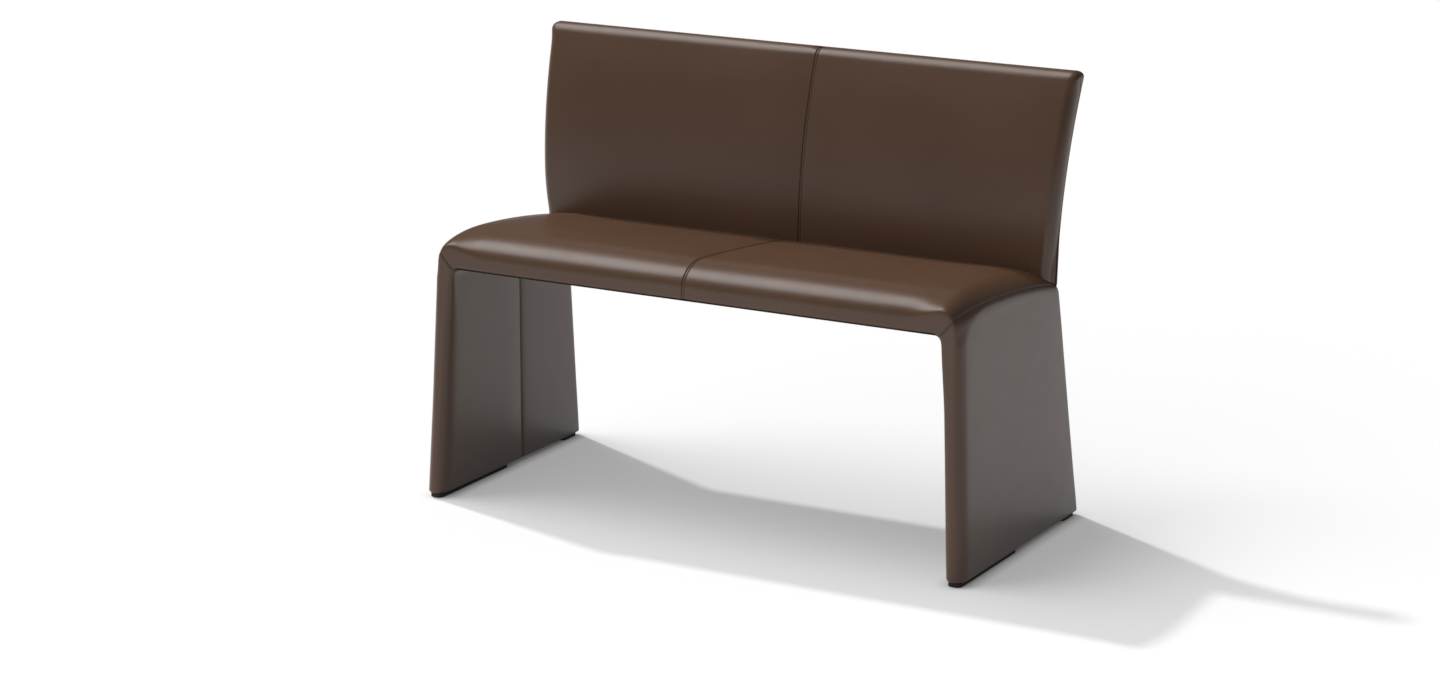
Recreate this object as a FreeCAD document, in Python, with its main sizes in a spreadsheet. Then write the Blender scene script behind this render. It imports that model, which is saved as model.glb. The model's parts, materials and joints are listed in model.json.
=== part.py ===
import FreeCAD, Part
import math
import os
import re
import Sketcher
from FreeCAD import Placement, Rotation, Vector

# Upholstered bench with a back: two leather-covered leg panels carry a padded seat,
# and a raked back stands on two steel bars. Millimetres, +Z up, the front faces -Y,
# the origin is on the floor in the middle of the legs.

SIZES = (
    # cuts, fits and the leather
    ("overrun", 5), ("fit_gap", 0.3), ("leather_thickness", 1.6),
    # leg panels, wider apart and deeper at the floor than under the seat
    ("leg_thickness", 40), ("leg_centre_floor", 540), ("leg_splay", 20),
    ("leg_depth_floor", 504), ("leg_front_lean", 18), ("leg_edge_radius", 16),
    ("leg_board_thickness", 22), ("leg_board_setback", 20),
    # seat
    ("seat_underside", 445), ("seat_front_height", 509), ("seat_rear_height", 481),
    ("seat_depth", 376), ("seat_roll_radius", 44), ("seat_crown", 2),
    ("seat_end_round", 52), ("seat_end_drop", 20), ("seat_corner_radius", 24),
    ("seat_seam_offset", -10), ("mitre_front_rise", 36), ("mitre_rear_rise", 5),
    # back
    ("back_top", 837), ("lumbar_height", 505), ("back_rake", 63),
    ("back_thickness_low", 41), ("back_thickness_top", 46),
    ("back_width_low", 1068), ("back_width_top", 1104),
    ("back_edge_radius", 20), ("back_roll_radius", 22), ("back_seam_offset", 28),
    ("back_board_setback", 17), ("back_board_thickness", 15), ("back_board_margin", 26),
    # seat frame
    ("rail_width", 40), ("rail_height", 18), ("cross_rail_height", 14),
    ("front_rail_setback", 25), ("end_rail_overhang", 6), ("corner_block_side", 45),
    ("belt_width", 50), ("belt_thickness", 1.5), ("dust_cover_thickness", 1),
    # steel bars that carry the back
    ("bar_width", 40), ("bar_thickness", 5), ("bar_spacing", 600),
    ("bar_hole_pitch", 45), ("bar_hole_edge", 25),
    # bolts, nuts and screws
    ("bolt_radius", 3), ("bolt_head_radius", 5), ("bolt_head_height", 4),
    ("leg_bolt_length", 52), ("barrel_nut_radius", 5), ("barrel_nut_height", 26),
    ("leg_bolt_edge", 60), ("nut_flange_radius", 9), ("nut_flange_height", 2),
    ("rail_screw_length", 15),
    # feet
    ("foot_height", 8), ("foot_inset", 7), ("foot_corner_radius", 9),
    ("foot_screw_radius", 2), ("foot_screw_head_radius", 4),
    ("foot_screw_head_height", 3), ("foot_screw_length", 26), ("foot_screw_recess", 2),
)
FRONT_FOOT_SHARE = 0.47
REAR_FOOT_SHARE = 0.10
LEG_SEAM_SHARE = 0.57
BACK_SEAM_SHARE = 0.72
RADIUS_LIMIT_SHARE = 0.42
END_ANGLE_SHARES = (0, 0.15, 0.3, 0.45, 0.6, 0.72, 0.84, 0.93, 1)
BACK_LEVEL_SHARES = (0, 0.2, 0.4, 0.6, 0.8, 1)
ROLL_ANGLE_SHARES = (0, 0.25, 0.5, 0.7, 0.86, 0.97)
FOOT_SCREW_SHARES = (0.2, 0.65)
BELT_COUNT = 8
LEG_BOLT_COUNT = 3
SIDES = {"left": -1, "right": 1}

doc = FreeCAD.newDocument("leather_bench")
sheet = doc.addObject("Spreadsheet::Sheet", "Sizes")
for row, (alias, number) in enumerate(SIZES, start=1):
    sheet.set(f"A{row}", alias)
    sheet.set(f"B{row}", str(number))
    sheet.setAlias(f"B{row}", alias)
doc.recompute()
ALIASES = {alias for alias, number in SIZES}
nodes = []


# Expressions are written in the sheet's own words and bound with the sheet's name.
def sheet_name(word):
    return "Sizes." + word[0] if word[0] in ALIASES else word[0]


def expression(text):
    return re.sub(r"[a-z_]+", sheet_name, text)


def num(text):
    return float(sheet_reader.evalExpression(expression(text)))


def bind(piece, **properties):
    for name, text in properties.items():
        piece.setExpression(name.replace("__", "."), expression(text))


sheet_reader = doc.addObject("App::FeaturePython", "reader")

# Places that several pieces share
LEG_CENTRE_TOP = "(leg_centre_floor - leg_splay)"
LEG_INNER_TOP = f"({LEG_CENTRE_TOP} - leg_thickness / 2)"
LEG_OUTER_TOP = f"({LEG_CENTRE_TOP} + leg_thickness / 2)"
SEAT_FRONT = "(leg_front_lean - leg_depth_floor / 2)"
LUMBAR = f"({SEAT_FRONT} + seat_depth)"
REACH = "(back_top - lumbar_height)"
BACK_FRONT_LOW = f"({LUMBAR} + back_rake * ((seat_underside - lumbar_height) / {REACH})^2)"
BELOW_LUMBAR = "max(lumbar_height - seat_rear_height; 0)"
BACK_FRONT_SEAT = f"({LUMBAR} + back_rake * ({BELOW_LUMBAR} / {REACH})^2)"
SEAT_REAR = f"({BACK_FRONT_SEAT} - fit_gap)"
LEG_REAR_TOP = f"({BACK_FRONT_LOW} + back_thickness_low)"
RAIL_FRONT = f"({SEAT_FRONT} + front_rail_setback)"
RAIL_REAR = f"({SEAT_REAR} - leather_thickness - fit_gap)"
RAIL_TOP = "(seat_underside + rail_height)"
RAIL_END = f"({LEG_CENTRE_TOP} + end_rail_overhang)"
RAIL_END_INNER = f"({RAIL_END} - rail_width)"
BOARD_SETBACK = f"max(back_board_setback; {BACK_FRONT_SEAT} + bar_thickness + fit_gap - {LUMBAR})"
BOARD_FRONT = f"({LUMBAR} + {BOARD_SETBACK})"
BAR_FOOT = f"({BOARD_FRONT} - {RAIL_REAR} + rail_width)"


def keep(piece, label):
    piece.Label = label
    nodes.append(piece)
    return piece


def feature(label, shape):
    piece = doc.addObject("Part::Feature", label)
    piece.Shape = shape
    piece.Placement = Placement()
    return keep(piece, label)


def box(name, length, width, height, x, y, z):
    piece = doc.addObject("Part::Box", name)
    bind(piece, Length=length, Width=width, Height=height)
    bind(piece, Placement__Base__x=x, Placement__Base__y=y, Placement__Base__z=z)
    return piece


def cylinder(name, radius, height, x, y, z, direction=Vector(0, 0, 1)):
    piece = doc.addObject("Part::Cylinder", name)
    piece.Placement = Placement(Vector(), Rotation(Vector(0, 0, 1), direction))
    bind(piece, Radius=radius, Height=height)
    bind(piece, Placement__Base__x=x, Placement__Base__y=y, Placement__Base__z=z)
    return piece


def group(name, pieces):
    piece = doc.addObject("Part::Compound", name)
    piece.Links = pieces
    return piece


def fuse(name, base, tool):
    piece = doc.addObject("Part::Fuse", name)
    piece.Base = base
    piece.Tool = tool
    return piece


def cut(name, base, tools):
    piece = doc.addObject("Part::Cut", name)
    piece.Base = base
    piece.Tool = group(name + "_cuts", tools)
    return piece


# A body whose outline is drawn from its own corner, padded, and moved to its place
def padded_body(label, plane_role, corners, thickness, place):
    body = doc.addObject("PartDesign::Body", label + "_body")
    outline = body.newObject("Sketcher::SketchObject", label + "_outline")
    plane = next(item for item in body.Origin.OriginFeatures if item.Role == plane_role)
    outline.AttachmentSupport = [(plane, "")]
    outline.MapMode = "FlatFace"
    points = [Vector(num(x), num(y), 0) for x, y in corners]
    for index, point in enumerate(points):
        outline.addGeometry(Part.LineSegment(point, points[(index + 1) % len(points)]))
    for index, corner in enumerate(corners):
        outline.addConstraint(Sketcher.Constraint("Coincident", index, 2, (index + 1) % len(corners), 1))
        for kind, axis, text in (("DistanceX", -2, corner[0]), ("DistanceY", -1, corner[1])):
            if text == "0":
                outline.addConstraint(Sketcher.Constraint("PointOnObject", index, 1, axis))
            else:
                number = outline.addConstraint(Sketcher.Constraint(kind, -1, 1, index, 1, num(text)))
                outline.setExpression(f"Constraints[{number}]", expression(text))
    pad = body.newObject("PartDesign::Pad", label + "_pad")
    pad.Profile = outline
    bind(pad, Length=thickness)
    for axis, text in zip("xyz", place):
        body.setExpression(f"Placement.Base.{axis}", expression(text))
    doc.recompute()
    return body


def round_upright_edges(body, label, radius):
    pad = body.Tip
    upright = []
    for index, edge in enumerate(pad.Shape.Edges, start=1):
        along = edge.Vertexes[1].Point - edge.Vertexes[0].Point
        if abs(along.z) > abs(along.x) + abs(along.y):
            upright.append(f"Edge{index}")
    rounding = body.newObject("PartDesign::Fillet", label + "_rounding")
    rounding.Base = (pad, upright)
    bind(rounding, Radius=radius)
    doc.recompute()


# A closed wire through straight runs (two points) and arcs (three points)
def outline_wire(runs):
    edges = []
    for run in runs:
        edges.append(Part.LineSegment(*run).toShape() if len(run) == 2 else Part.Arc(*run).toShape())
    return Part.Wire(edges)


def rounded_rectangle(x_low, x_high, y_low, y_high, z, radius):
    radius = min(radius, RADIUS_LIMIT_SHARE * min(x_high - x_low, y_high - y_low))
    bulge = radius * (1 - math.sqrt(0.5))
    runs = (
        ((x_low + radius, y_low), (x_high - radius, y_low)),
        ((x_high - radius, y_low), (x_high - bulge, y_low + bulge), (x_high, y_low + radius)),
        ((x_high, y_low + radius), (x_high, y_high - radius)),
        ((x_high, y_high - radius), (x_high - bulge, y_high - bulge), (x_high - radius, y_high)),
        ((x_high - radius, y_high), (x_low + radius, y_high)),
        ((x_low + radius, y_high), (x_low + bulge, y_high - bulge), (x_low, y_high - radius)),
        ((x_low, y_high - radius), (x_low, y_low + radius)),
        ((x_low, y_low + radius), (x_low + bulge, y_low + bulge), (x_low + radius, y_low)),
    )
    return outline_wire([[Vector(x, y, z) for x, y in run] for run in runs])


def rectangle(x_low, x_high, y_low, y_high, z):
    corners = ((x_low, y_low), (x_high, y_low), (x_high, y_high), (x_low, y_high), (x_low, y_low))
    return Part.makePolygon([Vector(x, y, z) for x, y in corners])


def solid_box(low, high):
    span = high - low
    return Part.makeBox(span.x, span.y, span.z, low)


overrun = num("overrun")
fit_gap = num("fit_gap")
leather = num("leather_thickness")
padding = leather + fit_gap
underside = num("seat_underside")
foot_height = num("foot_height")
seat_front = num(SEAT_FRONT)
seat_rear = num(SEAT_REAR)
leg_outer_top = num(LEG_OUTER_TOP)
leg_inner_top = num(LEG_INNER_TOP)
leg_rear_top = num(LEG_REAR_TOP)
leg_rear_floor = num("leg_depth_floor / 2")
wide = num("leg_centre_floor + leg_thickness")
tall = num("back_top + overrun")


# Leg panel: centre, front and rear of the panel at one height
def leg_line(side, z):
    share = (z - foot_height) / (underside - foot_height)
    centre = side * (num("leg_centre_floor") - num("leg_splay") * share)
    front = num("leg_front_lean") * share - leg_rear_floor
    rear = leg_rear_floor + (leg_rear_top - leg_rear_floor) * share
    return centre, front, rear


def leg_panel(side, inset):
    wires = []
    for z in (foot_height + inset, underside):
        centre, front, rear = leg_line(side, z)
        half = num("leg_thickness / 2") - inset
        radius = num("leg_edge_radius") - inset
        wires.append(rounded_rectangle(centre - half, centre + half, front + inset, rear - inset, z, radius))
    return Part.makeLoft(wires, True, True)


# Seat: a front roll, a crowned top that falls towards the back, and ends that roll down
def seat_profile(x, inset, drop, pull, bottom):
    front = seat_front + inset + pull
    rear = seat_rear - inset
    top = num("seat_front_height") - inset - drop
    rear_top = num("seat_rear_height") - inset - drop
    roll = min(num("seat_roll_radius") - inset, RADIUS_LIMIT_SHARE * 2 * (top - bottom))
    bulge = roll * (1 - math.sqrt(0.5))
    crown = (front + roll + rear) / 2, (top + rear_top) / 2 + num("seat_crown")
    runs = (
        ((front, bottom), (front, top - roll)),
        ((front, top - roll), (front + bulge, top - bulge), (front + roll, top)),
        ((front + roll, top), crown, (rear, rear_top)),
        ((rear, rear_top), (rear, bottom)),
        ((rear, bottom), (front, bottom)),
    )
    return outline_wire([[Vector(x, y, z) for y, z in run] for run in runs])


def seat_end(side, inset, bottom):
    end_round = num("seat_end_round") - inset
    end_drop = num("seat_end_drop") - inset
    corner = num("seat_corner_radius") - inset
    start = leg_outer_top - inset - end_round
    wires = []
    for share in END_ANGLE_SHARES:
        angle = share * math.pi / 2
        x = start + end_round * math.sin(angle)
        past = max(0, x - (leg_outer_top - inset - corner))
        pull = corner - math.sqrt(max(0, corner ** 2 - past ** 2))
        wires.append(seat_profile(side * x, inset, end_drop * (1 - math.cos(angle)), pull, bottom))
    return Part.makeLoft(wires, True, True)


def seat_block(inset, bottom):
    start = leg_outer_top - num("seat_end_round")
    wires = [seat_profile(x, inset, 0, 0, bottom) for x in (-start, start)]
    middle = Part.makeLoft(wires, True, True)
    return middle.multiFuse([seat_end(side, inset, bottom) for side in SIDES.values()]).removeSplitter()


# The space under the mitre seam where a leg's leather rises into the seat's end
def mitre(side):
    wires = []
    slope_run = leg_outer_top - leg_inner_top
    far = leg_outer_top + overrun
    rises = {seat_front - overrun: num("mitre_front_rise"), leg_rear_top: num("mitre_rear_rise")}
    for y, rise in rises.items():
        top = underside + rise * (far - leg_inner_top) / slope_run
        corners = (
            (leg_inner_top, underside), (far, top), (far, underside - overrun),
            (leg_inner_top, underside - overrun), (leg_inner_top, underside),
        )
        wires.append(Part.makePolygon([Vector(side * x, y, z) for x, z in corners]))
    return Part.makeLoft(wires, True, True)


# Behind the seat a leg's leather closes the leg's top
def leg_top_space(inset):
    low = Vector(-wide, seat_rear - inset, underside - inset)
    return solid_box(low, Vector(wide, wide, underside + overrun))


def leg_form(side, inset):
    corner = seat_block(inset, underside).common(mitre(side))
    form = leg_panel(side, inset).fuse(corner).removeSplitter()
    return form.cut(leg_top_space(inset)) if inset else form


# Back: lumbar bow and rake of the front face, flare of the width, roll along the top
def back_front(z):
    share = (z - num("lumbar_height")) / num(REACH)
    return num(LUMBAR) + num("back_rake") * share ** 2


def back_line(z):
    share = (z - underside) / (num("back_top") - underside)
    low, high = num("back_thickness_low"), num("back_thickness_top")
    half_low, half_high = num("back_width_low / 2"), num("back_width_top / 2")
    front = back_front(z)
    return half_low + (half_high - half_low) * share, front, front + low + (high - low) * share


def back_section(z, inset):
    half, front, rear = back_line(z)
    radius = num("back_edge_radius") * (rear - front - 2 * inset) / (rear - front)
    return rounded_rectangle(inset - half, half - inset, front + inset, rear - inset, z, radius)


def back_form(inset):
    bottom = underside + inset
    roll = num("back_roll_radius")
    roll_start = num("back_top") - roll
    levels = [bottom + (roll_start - bottom) * share for share in BACK_LEVEL_SHARES]
    body = Part.makeLoft([back_section(z, inset) for z in levels], True, False)
    rolled = []
    for share in ROLL_ANGLE_SHARES:
        angle = share * math.pi / 2
        z = roll_start + (roll - inset) * math.sin(angle)
        rolled.append(back_section(z, inset + (roll - inset) * (1 - math.cos(angle))))
    return body.fuse(Part.makeLoft(rolled, True, False)).removeSplitter()


def back_board(gap):
    margin = num("back_board_margin") - gap
    bottom = underside + padding
    top = num("back_top") - margin
    wires = []
    for share in BACK_LEVEL_SHARES:
        z = bottom - gap + (top - bottom + gap) * share
        half, front, rear = back_line(z)
        low = front + num(BOARD_SETBACK)
        high = low + num("back_board_thickness")
        wires.append(rectangle(margin - half, half - margin, low - gap, high + gap, z))
    return Part.makeLoft(wires, True, False)


# Everything behind one long arc that follows the back's rake, at a share of its thickness
def behind_back(seam_share):
    bend = []
    for z in (underside - overrun, (underside + tall) / 2, tall):
        half, front, rear = back_line(z)
        bend.append(Vector(-wide, front + seam_share * (rear - front), z))
    low, high = bend[0], bend[-1]
    runs = (
        bend,
        (high, Vector(-wide, high.y + wide, high.z)),
        (Vector(-wide, high.y + wide, high.z), Vector(-wide, high.y + wide, low.z)),
        (Vector(-wide, high.y + wide, low.z), low),
    )
    return Part.Face(outline_wire(runs)).extrude(Vector(2 * wide, 0, 0))


# Screws of the feet: where each foot starts and how long it is
FRONT_FOOT_LENGTH = f"(leg_depth_floor * {FRONT_FOOT_SHARE})"
REAR_FOOT_LENGTH = f"(leg_depth_floor * {REAR_FOOT_SHARE})"
FOOT_PLACES = {
    "front": ("(foot_inset - leg_depth_floor / 2)", FRONT_FOOT_LENGTH),
    "rear": (f"(leg_depth_floor / 2 - foot_inset - {REAR_FOOT_LENGTH})", REAR_FOOT_LENGTH),
}


def foot_screw_places(side):
    places = []
    for start, length in FOOT_PLACES.values():
        for share in FOOT_SCREW_SHARES:
            places.append((f"({side} * leg_centre_floor)", f"({start} + {length} * {share})"))
    return places


def leg_bolt_places(side):
    places = []
    for index in range(LEG_BOLT_COUNT):
        run = f"({RAIL_REAR} - {RAIL_FRONT} - 2 * leg_bolt_edge)"
        places.append((f"({side} * {LEG_CENTRE_TOP})",
                       f"({RAIL_FRONT} + leg_bolt_edge + {run} * {index} / {LEG_BOLT_COUNT - 1})"))
    return places


def upright_cylinder(radius, low, high, place):
    x, y = (num(text) for text in place)
    return Part.makeCylinder(num(radius), num(high) - num(low), Vector(x, y, num(low)))


BOLT_LOW = f"({RAIL_TOP} - leg_bolt_length)"
NUT_HEIGHT = f"({BOLT_LOW} + barrel_nut_radius)"
SCREW_LOW = "foot_screw_recess"
SCREW_HIGH = "(foot_screw_recess + foot_screw_length)"

# Leg panels: board, foam, leather, feet
mitres = {name: mitre(side) for name, side in SIDES.items()}
frame_space = solid_box(
    Vector(-num(RAIL_END) - fit_gap, num(RAIL_FRONT) - fit_gap, underside - overrun),
    Vector(num(RAIL_END) + fit_gap, seat_rear + overrun, num(f"{RAIL_TOP} + belt_thickness")))


def leg_board(side, gap):
    wires = []
    for z in (foot_height + padding - gap, underside):
        centre, front, rear = leg_line(side, z)
        half = num("leg_board_thickness / 2") + gap
        setback = num("leg_board_setback") - gap
        wires.append(rectangle(centre - half, centre + half, front + setback, rear - setback, z))
    return Part.makeLoft(wires, True, True)


def leg_rear_space(side):
    wires = []
    for z in (foot_height - overrun, underside + overrun):
        centre, front, rear = leg_line(side, z)
        inner = centre - side * num("leg_thickness")
        seam = front + LEG_SEAM_SHARE * (rear - front)
        wires.append(rectangle(min(inner, centre), max(inner, centre), seam, rear + overrun, z))
    return Part.makeLoft(wires, True, True)


for name, side in SIDES.items():
    screw_holes = []
    for place in foot_screw_places(side):
        hole = upright_cylinder("foot_screw_radius + fit_gap", SCREW_LOW, f"{SCREW_HIGH} + fit_gap", place)
        screw_holes.append(hole)
    bolt_holes = []
    for place in leg_bolt_places(side):
        hole = upright_cylinder("bolt_radius + fit_gap", f"{BOLT_LOW} - fit_gap", RAIL_TOP, place)
        bolt_holes.append(hole)
    nut_holes = []
    for x, y in leg_bolt_places(side):
        centre = leg_line(side, num(NUT_HEIGHT))[0]
        start = Vector(centre - num("leg_board_thickness"), num(y), num(NUT_HEIGHT))
        radius = num("barrel_nut_radius + fit_gap")
        nut_holes.append(Part.makeCylinder(radius, num("2 * leg_board_thickness"), start, Vector(1, 0, 0)))
    board = leg_board(side, 0).cut([leg_top_space(padding)] + screw_holes + bolt_holes + nut_holes)
    feature(f"leg_board_{name}", board)
    foam = leg_form(side, padding).cut([leg_board(side, fit_gap), frame_space] + nut_holes + screw_holes)
    feature(f"leg_foam_{name}", foam)
    leather_tube = leg_form(side, 0).cut([leg_form(side, leather)] + screw_holes)
    rear_space = leg_rear_space(side)
    feature(f"leg_cover_{name}", leather_tube.cut(rear_space))
    feature(f"leg_inner_cover_{name}", leather_tube.common(rear_space))
    for end, (start, length) in FOOT_PLACES.items():
        width = "(leg_thickness - 2 * foot_inset)"
        corners = (("0", "0"), (width, "0"), (width, length), ("0", length))
        place = (f"{side} * leg_centre_floor - {width} / 2", start, "0")
        label = f"{end}_foot_{name}"
        body = padded_body(label, "XY_Plane", corners, "foot_height", place)
        round_upright_edges(body, label, "foot_corner_radius")
        holes = []
        for index, share in enumerate(FOOT_SCREW_SHARES):
            x, y = f"{side} * leg_centre_floor", f"{start} + {length} * {share}"
            holes.append(cylinder(f"{label}_bore_{index}", "foot_screw_radius + fit_gap",
                                  "foot_height + 2 * overrun", x, y, "-overrun"))
            holes.append(cylinder(f"{label}_recess_{index}", "foot_screw_head_radius + fit_gap",
                                  "foot_screw_recess + foot_screw_head_height + overrun", x, y, "-overrun"))
        keep(cut(label, body, holes), label)

screws = []
for x, y in [place for side in SIDES.values() for place in foot_screw_places(side)]:
    number = len(screws)
    head = cylinder(f"foot_screw_head_{number}", "foot_screw_head_radius",
                    "foot_screw_head_height", x, y, SCREW_LOW)
    shank = cylinder(f"foot_screw_shank_{number}", "foot_screw_radius",
                     "foot_screw_length", x, y, SCREW_LOW)
    screws.append(fuse(f"foot_screw_{number}", head, shank))
keep(group("foot_screws", screws), "foot_screws")

# Seat frame: rails, cross rail, corner blocks, belts
INNER_RUN = f"({RAIL_REAR} - {RAIL_FRONT} - 2 * rail_width)"
bar_places = [f"({side} * bar_spacing / 2)" for side in SIDES.values()]

for name, side in SIDES.items():
    low = f"{side} * ({RAIL_END} - rail_width / 2) - rail_width / 2"
    rail = box(f"end_rail_block_{name}", "rail_width", f"{RAIL_REAR} - {RAIL_FRONT}", "rail_height",
               low, RAIL_FRONT, "seat_underside")
    holes = []
    for index, (x, y) in enumerate(leg_bolt_places(side)):
        holes.append(cylinder(f"end_rail_bore_{name}_{index}", "bolt_radius + fit_gap",
                              "rail_height + 2 * overrun", x, y, "seat_underside - overrun"))
        holes.append(cylinder(f"end_rail_recess_{name}_{index}", "bolt_head_radius + fit_gap",
                              "bolt_head_height + overrun", x, y, f"{RAIL_TOP} - bolt_head_height"))
    keep(cut(f"end_rail_{name}", rail, holes), f"end_rail_{name}")

RAIL_SPAN = f"2 * {RAIL_END_INNER}"
keep(box("front_rail", RAIL_SPAN, "rail_width", "rail_height",
         f"-{RAIL_END_INNER}", RAIL_FRONT, "seat_underside"), "front_rail")
rear_rail = box("rear_rail_block", RAIL_SPAN, "rail_width", "rail_height",
                f"-{RAIL_END_INNER}", f"{RAIL_REAR} - rail_width", "seat_underside")
rear_cuts = []
for index, x in enumerate(bar_places):
    rear_cuts.append(box(f"bar_notch_{index}", "bar_width + 2 * fit_gap", "rail_width + 2 * overrun",
                         "bar_thickness + overrun", f"{x} - bar_width / 2 - fit_gap",
                         f"{RAIL_REAR} - rail_width - overrun", "seat_underside - overrun"))
    for sign in SIDES.values():
        rear_cuts.append(cylinder(f"rail_screw_bore_{index}_{sign + 1}", "foot_screw_radius + fit_gap",
                                  "rail_screw_length + fit_gap", f"{x} + {sign} * bar_width / 4",
                                  f"{RAIL_REAR} - rail_width / 2", "seat_underside"))
keep(cut("rear_rail", rear_rail, rear_cuts), "rear_rail")
keep(box("cross_rail", "rail_width", INNER_RUN, "cross_rail_height",
         "-rail_width / 2", f"{RAIL_FRONT} + rail_width", "seat_underside"), "cross_rail")

# Corner blocks: three-cornered, glued where the rails meet
BLOCK_TURNS = {
    ("left", "front"): 0, ("right", "front"): 90, ("right", "rear"): 180, ("left", "rear"): 270,
}
for (name, end), turn in BLOCK_TURNS.items():
    label = f"corner_block_{end}_{name}"
    corners = (("0", "0"), ("corner_block_side", "0"), ("0", "corner_block_side"))
    y = f"{RAIL_FRONT} + rail_width" if end == "front" else f"{RAIL_REAR} - rail_width"
    place = (f"{SIDES[name]} * {RAIL_END_INNER}", y, "seat_underside")
    body = padded_body(label, "XY_Plane", corners, "rail_height", place)
    body.Placement = Placement(body.Placement.Base, Rotation(Vector(0, 0, 1), turn))
    keep(body, label)

belts = []
for index in range(BELT_COUNT):
    pitch = f"(2 * {RAIL_END_INNER} / {BELT_COUNT})"
    belts.append(box(f"belt_{index}", "belt_width", f"{RAIL_REAR} - {RAIL_FRONT}", "belt_thickness",
                     f"{pitch} * ({index} + 0.5) - {RAIL_END_INNER} - belt_width / 2", RAIL_FRONT, RAIL_TOP))
keep(group("seat_belts", belts), "seat_belts")

DUST_HALF = f"({LEG_INNER_TOP} - fit_gap)"
keep(box("dust_cover", f"2 * {DUST_HALF}", f"{RAIL_REAR} - {SEAT_FRONT} - leather_thickness",
         "dust_cover_thickness", f"-{DUST_HALF}", f"{SEAT_FRONT} + leather_thickness",
         "seat_underside - dust_cover_thickness"), "dust_cover")

# Bolts that hold the end rails to the leg boards, and their barrel nuts
bolts, nuts = [], []
for side in SIDES.values():
    for x, y in leg_bolt_places(side):
        number = len(bolts)
        head = cylinder(f"leg_bolt_head_{number}", "bolt_head_radius", "bolt_head_height",
                        x, y, f"{RAIL_TOP} - bolt_head_height")
        shank = cylinder(f"leg_bolt_shank_{number}", "bolt_radius", "leg_bolt_length", x, y, BOLT_LOW)
        bolts.append(fuse(f"leg_bolt_{number}", head, shank))
        lean = f"leg_splay * (seat_underside - {NUT_HEIGHT}) / (seat_underside - foot_height)"
        nut = cylinder(f"barrel_nut_rod_{number}", "barrel_nut_radius", "barrel_nut_height",
                       f"{side} * ({LEG_CENTRE_TOP} + {lean}) - barrel_nut_height / 2", y, NUT_HEIGHT,
                       Vector(1, 0, 0))
        bore = cylinder(f"barrel_nut_bore_{number}", "bolt_radius + fit_gap", "leg_bolt_length",
                        x, y, BOLT_LOW)
        nuts.append(cut(f"barrel_nut_{number}", nut, [bore]))
keep(group("leg_bolts", bolts), "leg_bolts")
keep(group("barrel_nuts", nuts), "barrel_nuts")

# Steel bars: a foot let into the rear rail and an upright bolted to the back's board
BAR_HEIGHTS = ("(lumbar_height - bar_hole_pitch / 2)", "(lumbar_height + bar_hole_pitch / 2)")
BAR_RISE = f"({BAR_HEIGHTS[1]} + bar_hole_edge - seat_underside)"
BOARD_REAR = f"({BOARD_FRONT} + back_board_thickness)"
NUT_SEAT = f"({BOARD_REAR} + back_rake * ((bar_hole_pitch / 2 + nut_flange_radius) / {REACH})^2)"
along_y = Vector(0, 1, 0)
rail_screws, bar_bolts, flange_nuts = [], [], []
for (name, side), x in zip(SIDES.items(), bar_places):
    corners = (("0", "0"), (BAR_FOOT, "0"), (BAR_FOOT, BAR_RISE), (f"{BAR_FOOT} - bar_thickness", BAR_RISE),
               (f"{BAR_FOOT} - bar_thickness", "bar_thickness"), ("0", "bar_thickness"))
    body = padded_body(f"back_bar_{name}", "YZ_Plane", corners, "bar_width",
                       (f"{x} - bar_width / 2", f"{RAIL_REAR} - rail_width", "seat_underside"))
    holes = []
    for index, z in enumerate(BAR_HEIGHTS):
        number = f"{name}_{index}"
        front = f"{BOARD_FRONT} - bar_thickness"
        holes.append(cylinder(f"bar_bore_{number}", "bolt_radius + fit_gap", "bar_thickness + 2 * overrun",
                              x, f"{front} - overrun", z, along_y))
        head = cylinder(f"bar_bolt_head_{number}", "bolt_head_radius", "bolt_head_height",
                        x, f"{front} - bolt_head_height", z, along_y)
        shank = cylinder(f"bar_bolt_shank_{number}", "bolt_radius",
                         f"{NUT_SEAT} - {front} + bolt_head_height + nut_flange_height",
                         x, f"{front} - bolt_head_height", z, along_y)
        bar_bolts.append(fuse(f"bar_bolt_{number}", head, shank))
        flange = cylinder(f"flange_nut_disc_{number}", "nut_flange_radius", "nut_flange_height",
                          x, NUT_SEAT, z, along_y)
        bore = cylinder(f"flange_nut_bore_{number}", "bolt_radius + fit_gap",
                        "nut_flange_height + 2 * overrun", x, f"{NUT_SEAT} - overrun", z, along_y)
        flange_nuts.append(cut(f"flange_nut_{number}", flange, [bore]))
    for index, sign in enumerate(SIDES.values()):
        number = f"{name}_{index}"
        screw_x = f"{x} + {sign} * bar_width / 4"
        screw_y = f"{RAIL_REAR} - rail_width / 2"
        holes.append(cylinder(f"rail_screw_hole_{number}", "foot_screw_radius + fit_gap",
                              "bar_thickness + 2 * overrun", screw_x, screw_y, "seat_underside - overrun"))
        holes.append(cylinder(f"rail_screw_recess_{number}", "foot_screw_head_radius + fit_gap",
                              "foot_screw_head_height + overrun", screw_x, screw_y,
                              "seat_underside - overrun"))
        head = cylinder(f"rail_screw_head_{number}", "foot_screw_head_radius", "foot_screw_head_height",
                        screw_x, screw_y, "seat_underside")
        shank = cylinder(f"rail_screw_shank_{number}", "foot_screw_radius", "rail_screw_length",
                         screw_x, screw_y, "seat_underside")
        rail_screws.append(fuse(f"rail_screw_{number}", head, shank))
    keep(cut(f"back_bar_{name}", body, holes), f"back_bar_{name}")
keep(group("rail_screws", rail_screws), "rail_screws")
keep(group("bar_bolts", bar_bolts), "bar_bolts")
keep(group("flange_nuts", flange_nuts), "flange_nuts")


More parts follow.
